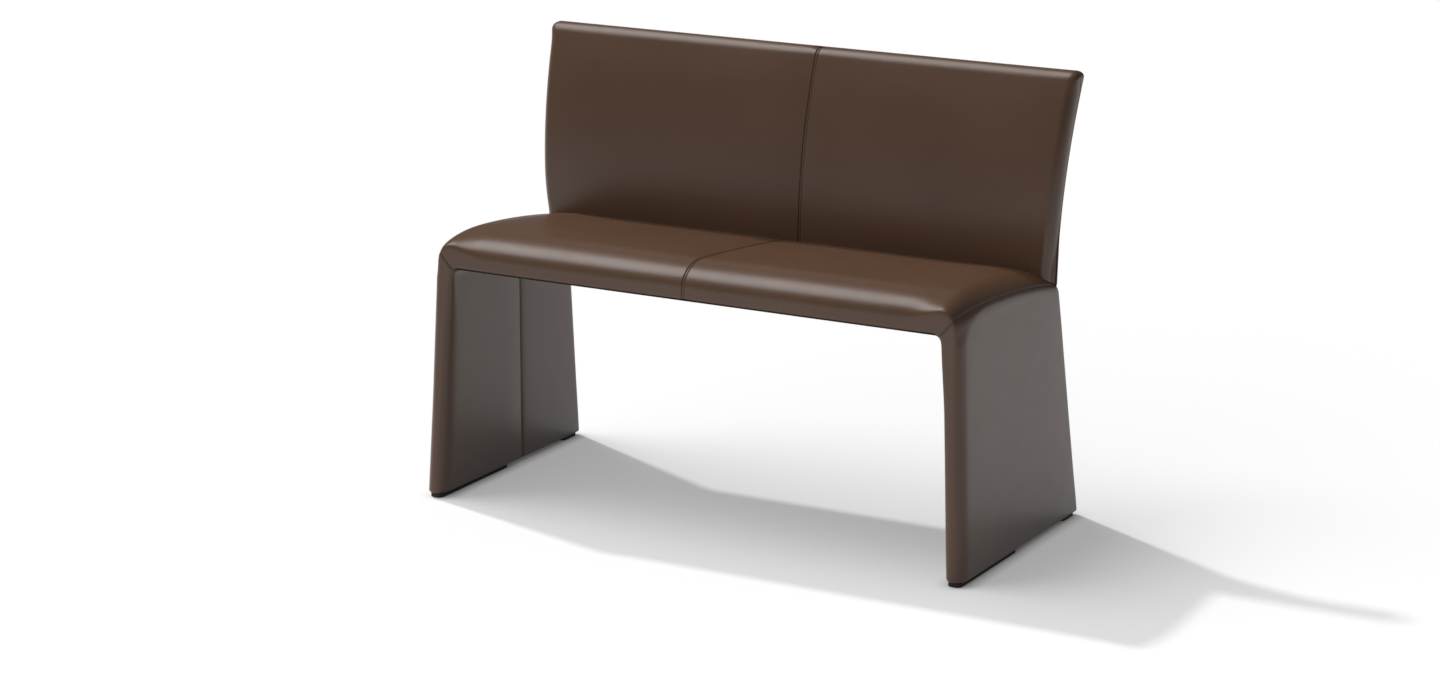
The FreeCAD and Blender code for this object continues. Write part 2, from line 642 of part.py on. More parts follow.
def bar_bolt_space(radius, start, end):
    spaces = []
    for x in bar_places:
        for z in BAR_HEIGHTS:
            place = Vector(num(x), num(start), num(z))
            spaces.append(Part.makeCylinder(num(radius), num(end) - num(start), place, along_y))
    return spaces


# Back: moulded board, foam in front and behind, leather front halves and rear panel
BOLT_FRONT = f"({BOARD_FRONT} - bar_thickness - bolt_head_height - fit_gap)"
bolt_spaces = bar_bolt_space("bolt_radius + fit_gap", BOLT_FRONT, f"{NUT_SEAT} + nut_flange_height")
bolt_head_spaces = bar_bolt_space("bolt_head_radius + fit_gap", BOLT_FRONT, BOARD_FRONT)
NUT_REAR = f"({NUT_SEAT} + nut_flange_height + fit_gap)"
nut_spaces = bar_bolt_space("nut_flange_radius + fit_gap", BOARD_REAR, NUT_REAR)
bar_spaces = []
for x in bar_places:
    half = num("bar_width / 2 + fit_gap")
    rise = underside + num(BAR_RISE) + fit_gap
    upright_front = num(f"{BOARD_FRONT} - bar_thickness") - fit_gap
    bar_spaces.append(solid_box(Vector(num(x) - half, upright_front, underside - overrun),
                                Vector(num(x) + half, num(BOARD_FRONT), rise)))
    bar_spaces.append(solid_box(Vector(num(x) - half, num(RAIL_REAR) - overrun, underside - overrun),
                                Vector(num(x) + half, num(BOARD_FRONT),
                                       underside + num("bar_thickness") + fit_gap)))
feature("back_board", back_board(0).cut(bolt_spaces))
hardware_spaces = bar_spaces + bolt_spaces + bolt_head_spaces + nut_spaces
stuffing = back_form(padding).cut([back_board(fit_gap)] + hardware_spaces)
middle_share = num(f"({BOARD_SETBACK} + back_board_thickness / 2) / back_thickness_low")
rear_half = behind_back(middle_share)
feature("back_foam_front", stuffing.cut(rear_half))
feature("back_foam_rear", stuffing.common(rear_half))
skin = back_form(0).cut([back_form(leather)] + bar_spaces)
rear_skin_space = behind_back(BACK_SEAM_SHARE)
front_skin = skin.cut(rear_skin_space)
feature("back_rear_cover", skin.common(rear_skin_space))


def halves(shape, seam):
    low = Vector(-wide, -wide, -overrun)
    high = Vector(wide, wide, tall)
    left = shape.common(solid_box(low, Vector(seam, high.y, high.z)))
    right = shape.common(solid_box(Vector(seam, low.y, low.z), high))
    return {"left": left, "right": right}


for name, shape in halves(front_skin, num("back_seam_offset")).items():
    feature(f"back_front_cover_{name}", shape)

# Seat: foam over the frame and two leather halves that meet at the middle seam
seat_foam = seat_block(padding, underside).cut(list(mitres.values()) + [frame_space])
feature("seat_foam", seat_foam)
seat_hollow = seat_block(leather, underside - overrun)
seat_skin = seat_block(0, underside).cut(list(mitres.values()) + [seat_hollow] + bar_spaces)
for name, shape in halves(seat_skin, num("seat_seam_offset")).items():
    feature(f"seat_cover_{name}", shape)

doc.recompute()
failed = [item.Name for item in doc.Objects if "Invalid" in item.State or "Error" in item.State]
for node in nodes:
    if node.Shape.isNull() or not node.Shape.isValid() or not node.Shape.Solids:
        failed.append(node.Label)
if failed:
    raise RuntimeError("failed: " + ", ".join(failed))
os.makedirs("parts", exist_ok=True)
for node in nodes:
    node.Shape.exportStep(f"parts/{node.Label}.step")
    print(node.Label, len(node.Shape.Solids), round(node.Shape.Volume))
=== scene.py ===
import collections
import json
import math

import bpy
import numpy as np
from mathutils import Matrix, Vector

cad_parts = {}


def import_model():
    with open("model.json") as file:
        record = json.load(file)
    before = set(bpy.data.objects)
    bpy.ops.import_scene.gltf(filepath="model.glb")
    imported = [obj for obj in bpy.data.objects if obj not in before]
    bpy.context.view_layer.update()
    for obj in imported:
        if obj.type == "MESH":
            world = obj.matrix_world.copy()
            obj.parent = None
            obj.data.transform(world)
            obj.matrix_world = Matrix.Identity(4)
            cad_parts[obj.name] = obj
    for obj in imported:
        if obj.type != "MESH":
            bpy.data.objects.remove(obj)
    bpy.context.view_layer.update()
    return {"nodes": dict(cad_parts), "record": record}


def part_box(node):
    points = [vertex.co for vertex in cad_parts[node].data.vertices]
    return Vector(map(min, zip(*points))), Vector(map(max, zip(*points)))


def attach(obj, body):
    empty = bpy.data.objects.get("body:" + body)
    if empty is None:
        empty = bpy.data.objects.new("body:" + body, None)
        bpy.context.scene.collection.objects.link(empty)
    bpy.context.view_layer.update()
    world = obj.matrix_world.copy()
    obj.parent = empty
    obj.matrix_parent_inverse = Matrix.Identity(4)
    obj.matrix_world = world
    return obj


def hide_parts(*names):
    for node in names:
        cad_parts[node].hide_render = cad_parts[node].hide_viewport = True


# Upholstered leather bench: seat halves, leg covers and back covers are modelled as
# sewn leather over padding, on the frame's own places. Metres, +Z up, the front faces -Y.

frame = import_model()
seat_low, seat_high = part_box("seat_cover_right")
leg_low, leg_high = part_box("leg_cover_right")
back_low, back_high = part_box("back_front_cover_right")
dust_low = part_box("dust_cover")[0]

SIDES = {"left": -1, "right": 1}
QUARTER_TURN = math.pi / 2
TINY = 1e-12

# Grids of points: the usual step, closer places beside a seam, and the turn of a corner
GRID_STEP = 0.008
CORNER_STEP = 0.003
SEAM_PLACES = 0.001 * np.array((
    0, 0.2, 0.5, 0.9, 1.4, 1.9, 2.4, 3.0, 3.6, 4.2, 4.9, 5.5, 6.1, 7.0, 8.5))
ARC_STEPS = 12
FACE_STEPS = 4
QUARTER = np.linspace(0, QUARTER_TURN, ARC_STEPS + 1)

# Leather, and its sewn edges by the width and the depth of their rounding
LEATHER_THICKNESS = 0.0016
SEAM_EDGE = (0.0022, 0.0022)
MITRE_EDGE = (0.0016, 0.0012)
COVER_EDGE = (0.0015, 0.0015)
PANEL_EDGE = (0.014, 0.0045)
NOTCH_RADIUS = 0.010
NOTCH_DEPTH = 0.0022

# Rows of stitches: the distance from the seam and the depth of the channel under the row
TOPSTITCH = (0.0050, 0.0010)
DOUBLE_STITCH = (0.0024, 0.0005)
CHANNEL_HALF = 0.0010
STITCH_PITCH = 0.0050
STITCH_LENGTH = 0.0041
STITCH_RADIUS = 0.00045
STITCH_TRIM = 0.004
STITCH_SIDES = 6
STITCH_TURNS = np.linspace(0, 2 * math.pi, STITCH_SIDES + 1)[:-1]
STITCH_SHARES = np.array((0.0, 0.14, 0.5, 0.86, 1.0))
STITCH_RISES = (-0.0006, 0.0000, 0.0001, 0.0000, -0.0006)
STITCH_WIDTHS = (0.5, 0.95, 1.0, 0.95, 0.5)

# Puckers beside the stitches: two waves that don't fit each other
PUCKER_LENGTH = 0.0031
PUCKER_RATIO = 0.618
PUCKER_SHIFT = 1
PUCKER_DEPTH = 0.00010
PUCKER_REACH = 0.014

# Seat
SEAT_FRONT = seat_low.y
SEAT_REAR = seat_high.y
SEAT_END = seat_high.x
SEAT_SEAM = seat_low.x
SEAT_FRONT_HEIGHT = 0.5090
SEAT_REAR_HEIGHT = 0.4800
SEAT_CROWN = 0.0015
SEAT_ROLL_DEPTH = 0.066
SEAT_ROLL_RISE = 0.042
SEAT_LOW_RADIUS = 0.009
SEAT_WRAP = 0.045
SEAT_CREASE = 0.002
UNDER_CLEARANCE = 0.0004
UNDERSIDE = dust_low.z - UNDER_CLEARANCE

# Round ends of the seat, and the mitre seams where the leather of the legs begins
END_CROWN = 0.0065
END_CROWN_REACH = 0.16
END_ROUND = 0.044
END_ROUND_REAR = 0.066
END_DROP = 0.042
END_DROP_REAR = 0.036
END_START = SEAT_END - END_ROUND
MORPH_START = END_START - 0.055
UNDER_TURN = (END_START - 0.020, END_START)
CREASE_TURN = (0.512, 0.533)
MITRE_SHARE = 0.73
MITRE_X = END_START + END_ROUND * math.sin(MITRE_SHARE * QUARTER_TURN)
MITRE_TURN = math.pi / 4
MITRE_DEPTH = 0.125
MITRE_RISE = 0.018
MITRE_LOW_RADIUS = 0.011
BEND_LENGTH = END_ROUND * 1.1
PORTAL_RADIUS = 0.018
PORTAL_LEAD = 0.006

# Legs. Each corner has its depth and its width across the leg's thickness
LEG_BOTTOM = leg_low.z
LEG_FRONT_FLOOR = leg_low.y
LEG_REAR_FLOOR = leg_high.y
LEG_OUTER_FLOOR = leg_high.x
LEG_THICKNESS = 0.040
LEG_INNER_CORNER = (0.032, 0.018)
LEG_OUTER_CORNER = (0.026, 0.019)
LEG_REAR_RADIUS = 0.015
LEG_REAR_SPLIT_SHARE = 0.5
LEG_SETTLE = 0.13
LEG_LOW_SETTLE = 0.35
LEG_SEAM_SHARE = 0.556
LEG_BASE_RADIUS = 0.005
LEG_HEM = 0.014

# Back
BACK_TOP = back_high.z
BACK_FRONT = back_low.y
BACK_SEAM = back_low.x
BACK_SEAM_LEAN = 0.004
BACK_BELOW_SEAT = 0.0005
BACK_BOTTOM = seat_low.z - BACK_BELOW_SEAT
BACK_RAKE = 0.063
LUMBAR_HEIGHT = 0.505
BACK_HALF_LOW = 0.536
BACK_HALF_TOP = 0.554
BACK_THICKNESS_LOW = 0.041
BACK_THICKNESS_TOP = 0.046
BACK_SEAM_SHARE = 0.72
BACK_CREST_SHARE = 0.31
BACK_CREST_REACH = 0.045
BACK_CORNER_DEPTH = 0.024
BACK_CORNER_WIDTH = 0.018
BACK_REAR_CORNER = 0.012
BACK_ROLL = 0.015
BACK_ROLL_END = 0.015
BACK_ROLL_DEGREES = 88
BACK_BASE_ROLL = 0.010
BACK_BASE_INSET = 0.005
BACK_BASE_REACH = 0.085
INSIDE_BACK_FRONT = (0, 0.2, 0.65)
INSIDE_BACK_REAR = (0, 0.15, 0.65)

# Cloth simulation of the padding's pressure
CLOTH_STEP = 0.012
CLOTH_FRAMES = 20
CLOTH_SMOOTHING = 12
CLOTH_SMOOTHING_SHARE = 0.5
CLOTH_LIMITS = {"seat": 0.0040, "leg": 0.0020, "back": 0.0035}
CLOTH_SETTINGS = {
    "quality": 6,
    "mass": 0.25,
    "tension_stiffness": 40,
    "compression_stiffness": 40,
    "shear_stiffness": 20,
    "bending_stiffness": 4,
    "use_pressure": True,
    "uniform_pressure_force": 4.0,
}

# Leather and thread
LEATHER_COLOURS = (0.087, 0.0455, 0.0262), (0.102, 0.054, 0.0316)
LEATHER_TONES = (-0.4, 1.4)
LEATHER_ROUGHNESS = (0.29, 0.39)
LEATHER_IOR = 1.5
TONE_SCALE = 5.0
SHEEN_SCALE = 30.0
PEBBLE_SCALE = 650.0
PEBBLE_SMOOTHNESS = 0.6
PEBBLE_DEPTH = 0.00012
PEBBLE_STRENGTH = 0.6
PORE_SCALE = 1400.0
PORE_DEPTH = 0.00006
PORE_STRENGTH = 0.5
THREAD = ("brown_thread", (0.060, 0.036, 0.025), (0.105, 0.068, 0.048), 0.5, 2500, 0.00008)
ROUGHNESS_SPREAD = 0.06
SPECKLE_STRENGTH = 0.5

# Finish of the frame's own pieces by material slot: name, dark and light colour, roughness,
# speckles per metre, height of the speckles, and 1.0 for bare metal
FINISHES = {
    "foot_plastic": ("black_plastic", (0.010, 0.010, 0.011), (0.018, 0.018, 0.019), 0.45, 900, 0.00005),
    "dust_cloth": ("black_cloth", (0.008, 0.008, 0.008), (0.022, 0.022, 0.022), 0.9, 1500, 0.0002),
    "plywood": ("birch_plywood", (0.42, 0.28, 0.15), (0.55, 0.40, 0.24), 0.6, 60, 0.0002),
    "rail_wood": ("beech", (0.40, 0.24, 0.12), (0.52, 0.34, 0.18), 0.55, 80, 0.0002),
    "zinc_steel": ("zinc_steel", (0.50, 0.51, 0.52), (0.62, 0.62, 0.62), 0.35, 400, 0.00003, 1.0),
    "black_steel": ("black_steel", (0.015, 0.015, 0.016), (0.03, 0.03, 0.03), 0.5, 500, 0.00008),
    "webbing": ("webbing", (0.02, 0.02, 0.022), (0.06, 0.06, 0.06), 0.85, 700, 0.0003),
}

# Floor, light and camera. Each lamp has the direction towards it, its apparent width in degrees,
# its strength, and whether reflections show it
FLOOR_HALF = 30.0
FLOOR_SHADE = 0.56
FLOOR_LIFT = 0.33
FLOOR_ROUGHNESS = 0.9
# Reach of the painted contact shade: ambient occlusion darkens the floor's lift beside and under the
# legs
PAINTED_SHADE_REACH = 0.025
WORLD_STRENGTH = 0.12
LAMPS = {
    "key": ((-0.645, 0.22, 0.733), 3, 0.66, False),
    "overhead": ((-0.52, -0.10, 0.85), 40, 0.60, True),
    "front": ((-0.45, -0.80, 0.40), 60, 0.25, False),
}
CAMERA_PLACE = (3.0802, -5.6013, 2.0015)
CAMERA_DOWN = 14.823
CAMERA_TURN = 29.296
CAMERA_LENS = 89.5
CAMERA_SENSOR = 36


def mix(start, end, share):
    return start + (end - start) * share


def smooth(share):
    share = np.clip(share, 0.0, 1.0)
    return share * share * (3 - 2 * share)


# Shares from 0 to 1 along a run of a given length, close together beside a seam
def spread(length, step=GRID_STEP, seam_start=False, seam_end=False):
    places = [0.0, length]
    low, high = 0.0, length
    if seam_start:
        places += list(SEAM_PLACES)
        low = SEAM_PLACES[-1]
    if seam_end:
        places += list(length - SEAM_PLACES)
        high = length - SEAM_PLACES[-1]
    count = max(2, round((high - low) / step) + 1)
    places += list(np.linspace(low, high, count))
    return np.unique(np.round(places, 7)) / length


# Shares along the runs of seat, leg and back, from the rough length of each run
UNDER_SHARES = spread(length=0.24, seam_start=True)
FACE_SHARES = np.linspace(0, 1, FACE_STEPS + 1)
TOP_SHARES = spread(length=0.32)
REAR_SHARES = spread(length=0.012, step=0.002, seam_end=True)
INNER_SHARES = spread(length=0.17, seam_end=True)
BACK_SHARES = spread(length=0.51, seam_start=True)
BACK_SIDE_SHARES = spread(length=0.020, step=0.004, seam_end=True)
BACK_REAR_SHARES = spread(length=1.02)


# Runs of points in a row, each given by two coordinates, without the doubled points where they meet
def joined(runs):
    return [np.concatenate([runs[0][part]] + [run[part][1:] for run in runs[1:]]) for part in range(2)]


# Outline of a seat or leg section: depth and share of the thickness, from the inner or under side
# over the front edge to the outer or top side and down the rear edge. The second part starts
# there and goes round to the inner side
def section(front, rear, start, corners, thickness, inner_end=None):
    (low, low_rise), (top, top_rise), behind = corners
    low_share, top_share, behind_share = (rise / thickness for rise in (low_rise, top_rise, behind))
    split = LEG_REAR_SPLIT_SHARE
    first = [
        (mix(start, front + low, UNDER_SHARES), 0 * UNDER_SHARES),
        (front + low - low * np.sin(QUARTER), low_share * (1 - np.cos(QUARTER))),
        (0 * FACE_SHARES + front, mix(low_share, 1 - top_share, FACE_SHARES)),
        (front + top - top * np.cos(QUARTER), 1 - top_share + top_share * np.sin(QUARTER)),
        (mix(front + top, rear - behind, TOP_SHARES), 0 * TOP_SHARES + 1),
        (rear - behind + behind * np.sin(QUARTER), 1 - behind_share + behind_share * np.cos(QUARTER)),
        (0 * REAR_SHARES + rear, mix(1 - behind_share, split, REAR_SHARES)),
    ]
    second = [
        (0 * REAR_SHARES + rear, mix(split, behind_share, 1 - REAR_SHARES[::-1])),
        (rear - behind + behind * np.cos(QUARTER), behind_share * (1 - np.sin(QUARTER))),
    ]
    if inner_end is not None:
        second.append((mix(rear - behind, inner_end, INNER_SHARES), 0 * INNER_SHARES))
    return joined(first), joined(second)


# Places of a section's points between the inner or under side and the outer or top side
def placed(side, depth, share, outer_x, outer_z, inner_x, inner_z):
    x = mix(inner_x, outer_x, share)
    z = mix(inner_z, outer_z, share)
    return np.stack((side * x, depth, z), axis=1)


# Height of the seat's top: it falls to the rear, with a low crown that is higher at the ends
def seat_top(depth, x):
    crown = mix(SEAT_CROWN, END_CROWN, smooth((x - END_START + END_CROWN_REACH) / END_CROWN_REACH))
    share = (depth - SEAT_FRONT - SEAT_ROLL_DEPTH) / (SEAT_REAR - SEAT_FRONT - SEAT_ROLL_DEPTH)
    share = np.maximum(share, 0)
    return mix(SEAT_FRONT_HEIGHT, SEAT_REAR_HEIGHT, share) + 4 * crown * share * (1 - share)


# Front face of the back, with its lumbar bow and its rake
def back_front(height):
    return BACK_FRONT + BACK_RAKE * ((height - LUMBAR_HEIGHT) / (BACK_TOP - LUMBAR_HEIGHT)) ** 2


LEG_REAR_TOP = back_front(seat_low.z) + BACK_THICKNESS_LOW


def leg_share(height):
    return np.clip((height - LEG_BOTTOM) / (seat_low.z - LEG_BOTTOM), 0, 1)


def leg_outer(height):
    return mix(LEG_OUTER_FLOOR, SEAT_END, leg_share(height))


def leg_front(height):
    return mix(LEG_FRONT_FLOOR, SEAT_FRONT, leg_share(height))


def leg_rear(height):
    return mix(LEG_REAR_FLOOR, LEG_REAR_TOP, leg_share(height))


# The portal is the opening between the legs, with round upper corners
PORTAL_HEIGHT = UNDERSIDE - PORTAL_RADIUS
PORTAL_CENTRE = leg_outer(PORTAL_HEIGHT) - LEG_THICKNESS - PORTAL_RADIUS
INNER_START = PORTAL_CENTRE - PORTAL_LEAD
INNER_ARC = PORTAL_RADIUS * MITRE_TURN

# Length down a leg's outer side: the rest of the end's bend below the mitre, then the straight run
STRAIGHT_END = LEG_BOTTOM + LEG_BASE_RADIUS
STRAIGHT_LENGTH = SEAT_FRONT_HEIGHT - END_DROP - STRAIGHT_END
BEND_BELOW_MITRE = (1 - MITRE_SHARE) * END_ROUND * QUARTER_TURN
OUTER_LENGTH = STRAIGHT_LENGTH + BEND_BELOW_MITRE


# A point on the portal's round corner
def portal(turn):
    x = PORTAL_CENTRE + PORTAL_RADIUS * math.sin(turn)
    return x, PORTAL_HEIGHT + PORTAL_RADIUS * math.cos(turn)


# The seat's under side at its end, as far as the mitre
def seat_inner(share):
    along = share * (PORTAL_LEAD + INNER_ARC)
    if along <= PORTAL_LEAD:
        return INNER_START + along, UNDERSIDE
    return portal((along - PORTAL_LEAD) / PORTAL_RADIUS)


# The round end of the seat's top, as far as a share of its quarter turn. It is wider and
# flatter at the rear
def end_roll(bend, depth):
    turn = bend * QUARTER_TURN
    share = smooth((depth - SEAT_FRONT) / (SEAT_REAR - SEAT_FRONT))
    width = mix(END_ROUND, END_ROUND_REAR, share)
    drop = mix(END_DROP, END_DROP_REAR, share)
    return SEAT_END - width * (1 - math.sin(turn)), drop * (1 - math.cos(turn))


# Corners of a seat section, from the middle of the seat to the mitre
def seat_corners(morph, behind):
    low = mix(SEAT_LOW_RADIUS, MITRE_LOW_RADIUS, morph)
    top = mix(SEAT_ROLL_DEPTH, MITRE_DEPTH, morph)
    top_rise = mix(SEAT_ROLL_RISE, MITRE_RISE, morph)
    return (low, low), (top, top_rise), behind


# One row of a seat half: a share of the straight run from the middle seam, then a share of
# the end's bend
def seat_station(side, run, bend):
    front_x, front_drop = end_roll(bend * MITRE_SHARE, SEAT_FRONT)
    front_x = mix(side * SEAT_SEAM, front_x, run)
    inner_x, inner_z = mix(side * SEAT_SEAM, INNER_START, run), UNDERSIDE
    if bend:
        inner_x, inner_z = seat_inner(bend)
    morph = smooth((front_x - MORPH_START) / (MITRE_X - MORPH_START))
    past = smooth((front_x - CREASE_TURN[0]) / (CREASE_TURN[1] - CREASE_TURN[0]))
    rear = mix(SEAT_REAR + SEAT_CREASE, LEG_REAR_TOP, past)
    behind = mix(SEAT_LOW_RADIUS, LEG_REAR_RADIUS, past)
    under = smooth((front_x - UNDER_TURN[0]) / (UNDER_TURN[1] - UNDER_TURN[0]))
    start = mix(SEAT_FRONT + SEAT_WRAP, rear - behind, under)
    thickness = math.hypot(SEAT_FRONT_HEIGHT - front_drop - inner_z, front_x - inner_x)
    depth, share = joined(section(SEAT_FRONT, rear, start, seat_corners(morph, behind), thickness))
    outer_x, drop = end_roll(bend * MITRE_SHARE, depth)
    outer_x = mix(side * SEAT_SEAM, outer_x, run)
    return placed(side, depth, share, outer_x, seat_top(depth, outer_x) - drop, inner_x, inner_z)


def seat_grid(side):
    straight = spread(END_START - side * SEAT_SEAM, seam_start=True)
    corner = spread(BEND_LENGTH, step=CORNER_STEP, seam_end=True)[1:]
    stations = [seat_station(side, run, 0) for run in straight]
    stations += [seat_station(side, 1, bend) for bend in corner]
    return np.array(stations)


# One level of a leg: the rest of the seat's end roll first, then straight down to the base
def leg_station(side, share, inner_x, inner_z, base, inset=0.0):
    along = share * OUTER_LENGTH
    middle = mix(seat_low.z, base, share)
    front, rear = leg_front(middle) + inset, leg_rear(middle) - inset
    seam = mix(front, rear, LEG_SEAM_SHARE)
    settle = 1 - (1 - min(share / LEG_SETTLE, 1)) ** 2
    low_settle = smooth(share / LEG_LOW_SETTLE)
    low = [mix(MITRE_LOW_RADIUS, size, low_settle) - inset for size in LEG_INNER_CORNER]
    top = mix(MITRE_DEPTH, LEG_OUTER_CORNER[0], settle) - inset
    top_rise = mix(MITRE_RISE, LEG_OUTER_CORNER[1], settle) - inset
    corners = low, (top, top_rise), LEG_REAR_RADIUS - inset

    def outer(depth):
        bend = min(MITRE_SHARE + along / (END_ROUND * QUARTER_TURN), 1)
        roll_x, drop = end_roll(bend, depth)
        fallen = max(along - BEND_BELOW_MITRE, 0) / STRAIGHT_LENGTH
        z = mix(seat_top(depth, roll_x) - drop, base, fallen)
        return leg_outer(z) - (SEAT_END - roll_x) - inset, z

    middle_x, middle_z = outer(np.array((front + LEG_OUTER_CORNER[0],)))
    thickness = math.hypot(middle_x[0] - inner_x - inset, middle_z[0] - inner_z)
    grids = []
    for depth, part in section(front, rear, seam, corners, thickness, inner_end=seam):
        outer_x, outer_z = outer(depth)
        grids.append(placed(side, depth, part, outer_x, outer_z, inner_x + inset, inner_z))
    return grids


# Leg cover and inner rear panel, from the mitre seam down to the hem under the leg
def leg_grids(side):
    inner_length = INNER_ARC + PORTAL_HEIGHT - STRAIGHT_END
    stations = []
    for share in spread(OUTER_LENGTH, seam_start=True):
        down = share * inner_length
        if down < INNER_ARC:
            inner_x, inner_z = portal(MITRE_TURN + down / PORTAL_RADIUS)
        else:
            inner_z = PORTAL_HEIGHT - (down - INNER_ARC)
            inner_x = leg_outer(inner_z) - LEG_THICKNESS
        stations.append(leg_station(side, share, inner_x, inner_z, STRAIGHT_END))
    insets = []
    for turn in QUARTER[2::2]:
        insets.append((LEG_BASE_RADIUS * (1 - math.cos(turn)), LEG_BASE_RADIUS * math.sin(turn)))
    insets.append((LEG_HEM, LEG_BASE_RADIUS))
    for inset, fall in insets:
        base = STRAIGHT_END - fall
        stations.append(leg_station(side, 1, leg_outer(base) - LEG_THICKNESS, base, base, inset))
    return [np.array(rows) for rows in zip(*stations)]


BackLevel = collections.namedtuple(
    "BackLevel", "front seam rear half corner_width corner_depth base_inset rear_corner")


# Heights of the back's rows, each with how far front and rear are drawn together to the seam there
def back_levels():
    turns = np.linspace(0, math.radians(BACK_ROLL_DEGREES), ARC_STEPS + 1)
    low, high = BACK_BOTTOM + BACK_BASE_ROLL, BACK_TOP - BACK_ROLL
    levels = []
    for turn in turns[::-1]:
        levels.append((BACK_BOTTOM + BACK_BASE_ROLL * (1 - math.sin(turn)), 1 - math.cos(turn)))
    levels += [(mix(low, high, share), 0.0) for share in spread(high - low)[1:-1]]
    for turn in turns:
        levels.append((BACK_TOP - BACK_ROLL * (1 - math.sin(turn)), 1 - math.cos(turn)))
    return levels


def back_level(height, close):
    share = (height - BACK_BOTTOM) / (BACK_TOP - BACK_BOTTOM)
    front = back_front(height)
    thickness = mix(BACK_THICKNESS_LOW, BACK_THICKNESS_TOP, share)
    crest = smooth(1 - (BACK_TOP - height) / BACK_CREST_REACH)
    seam_share = mix(BACK_SEAM_SHARE, BACK_CREST_SHARE, crest)
    seam = front + seam_share * thickness
    low = min(max(1 - (height - SEAT_REAR_HEIGHT) / BACK_BASE_REACH, 0), 1) ** 2
    return BackLevel(
        front=mix(front, seam, close),
        seam=seam,
        rear=mix(front + thickness, seam, close),
        half=mix(BACK_HALF_LOW, BACK_HALF_TOP, share) - close * BACK_ROLL_END,
        corner_width=BACK_CORNER_WIDTH * (1 - close),
        corner_depth=BACK_CORNER_DEPTH * seam_share / BACK_SEAM_SHARE * (1 - close),
        base_inset=BACK_BASE_INSET * low,
        rear_corner=BACK_REAR_CORNER * (1 - close),
    )


# Half of the back's front cover: from the middle seam to the side, and round to the side seam
def back_half_grid(side):
    rows = []
    for height, close in back_levels():
        level = back_level(height, close)
        front, width, depth = level.front, level.corner_width, level.corner_depth
        edge = level.half - level.base_inset
        lean = BACK_SEAM_LEAN * (BACK_TOP - height) / (BACK_TOP - BACK_BOTTOM)
        x, y = joined([
            (mix(side * (BACK_SEAM - lean), edge - width, BACK_SHARES), 0 * BACK_SHARES + front),
            (edge - width + width * np.sin(QUARTER), front + depth - depth * np.cos(QUARTER)),
            (mix(edge, level.half, BACK_SIDE_SHARES), mix(front + depth, level.seam, BACK_SIDE_SHARES)),
        ])
        rows.append(np.stack((side * x, y, 0 * x + height), axis=1))
    return np.array(rows)


# The back's rear cover, from one side seam to the other
def back_rear_grid():
    rows = []
    sides = 1 - BACK_SIDE_SHARES[::-1]
    for height, close in back_levels():
        level = back_level(height, close)
        rear, half, corner = level.rear, level.half, level.rear_corner
        edge = half - corner
        x, y = joined([
            (0 * sides + half, mix(level.seam, rear - corner, sides)),
            (edge + corner * np.cos(QUARTER), rear - corner + corner * np.sin(QUARTER)),
            (mix(edge, -edge, BACK_REAR_SHARES), 0 * BACK_REAR_SHARES + rear),
            (-edge - corner * np.sin(QUARTER), rear - corner + corner * np.cos(QUARTER)),
            (0 * sides - half, mix(rear - corner, level.seam, BACK_SIDE_SHARES)),
        ])
        rows.append(np.stack((x, y, 0 * x + height), axis=1))
    return np.array(rows)


# Outward normals of a grid of points
def grid_normals(grid, sign):
    normals = np.cross(np.gradient(grid, axis=0), np.gradient(grid, axis=1)) * sign
    return normals / np.maximum(np.linalg.norm(normals, axis=2, keepdims=True), TINY)


def outward_sign(grid, inside):
    normals = grid_normals(grid, 1)
    return 1 if np.sum(normals * (grid - np.array(inside))) > 0 else -1


# Distance of every point from the grid's first row or column, along the surface
def distance_from_start(grid, axis):
    steps = np.linalg.norm(np.diff(grid, axis=axis), axis=2)
    zero = np.zeros_like(np.take(steps, [0], axis=axis))
    return np.concatenate((zero, np.cumsum(steps, axis=axis)), axis=axis)


def border_distance(grid, border):
    axis = 0 if border in ("first_row", "last_row") else 1
    flip = border in ("last_row", "last_column")
    distance = distance_from_start(np.flip(grid, axis) if flip else grid, axis)
    return np.flip(distance, axis) if flip else distance


def along_border(grid, border):
    across = "first_column" if border in ("first_row", "last_row") else "first_row"
    return border_distance(grid, across)


# Leather at its sewn borders: a round edge that goes down into the seam, a channel under each
# row of stitches, and slight puckers beside it
def sewn(grid, sign, seams, stitches, dimples):
    normals = grid_normals(grid, sign)
    fall = np.zeros(grid.shape[:2])
    for border, width, depth in seams:
        share = np.clip(1 - border_distance(grid, border) / width, 0, 1)
        fall = np.maximum(fall, depth * (1 - np.sqrt(1 - share ** 2)))
    for border, place, channel in stitches:
        distance = border_distance(grid, border)
        turn = along_border(grid, border) / PUCKER_LENGTH
        fall += channel * np.exp(-((distance - place) / CHANNEL_HALF) ** 2)
        wave = np.sin(turn) + np.sin(turn * PUCKER_RATIO + PUCKER_SHIFT)
        fall += PUCKER_DEPTH * wave * np.exp(-(distance / PUCKER_REACH) ** 2)
    for place, radius, depth in dimples:
        fall += depth * np.exp(-np.sum((grid - np.array(place)) ** 2, axis=2) / radius ** 2)
    return grid - normals * fall[:, :, None]


# A line on the leather at one distance from a sewn border, with the outward normals along it
def seam_line(grid, sign, border, place):
    normals = grid_normals(grid, sign)
    distance = border_distance(grid, border)
    if border in ("first_column", "last_column"):
        grid, normals, distance = np.swapaxes(grid, 0, 1), np.swapaxes(normals, 0, 1), distance.T
    if border in ("last_row", "last_column"):
        grid, normals, distance = grid[::-1], normals[::-1], distance[::-1]
    line = []
    for column in range(grid.shape[1]):
        values = np.concatenate((grid[:, column], normals[:, column]), axis=1)
        line.append([np.interp(place, distance[:, column], values[:, part]) for part in range(6)])
    line = np.array(line)
    return line[:, :3], line[:, 3:] / np.linalg.norm(line[:, 3:], axis=1, keepdims=True)


def along_line(lengths, values, places):
    return np.stack([np.interp(places, lengths, values[:, part]) for part in range(3)], axis=1)


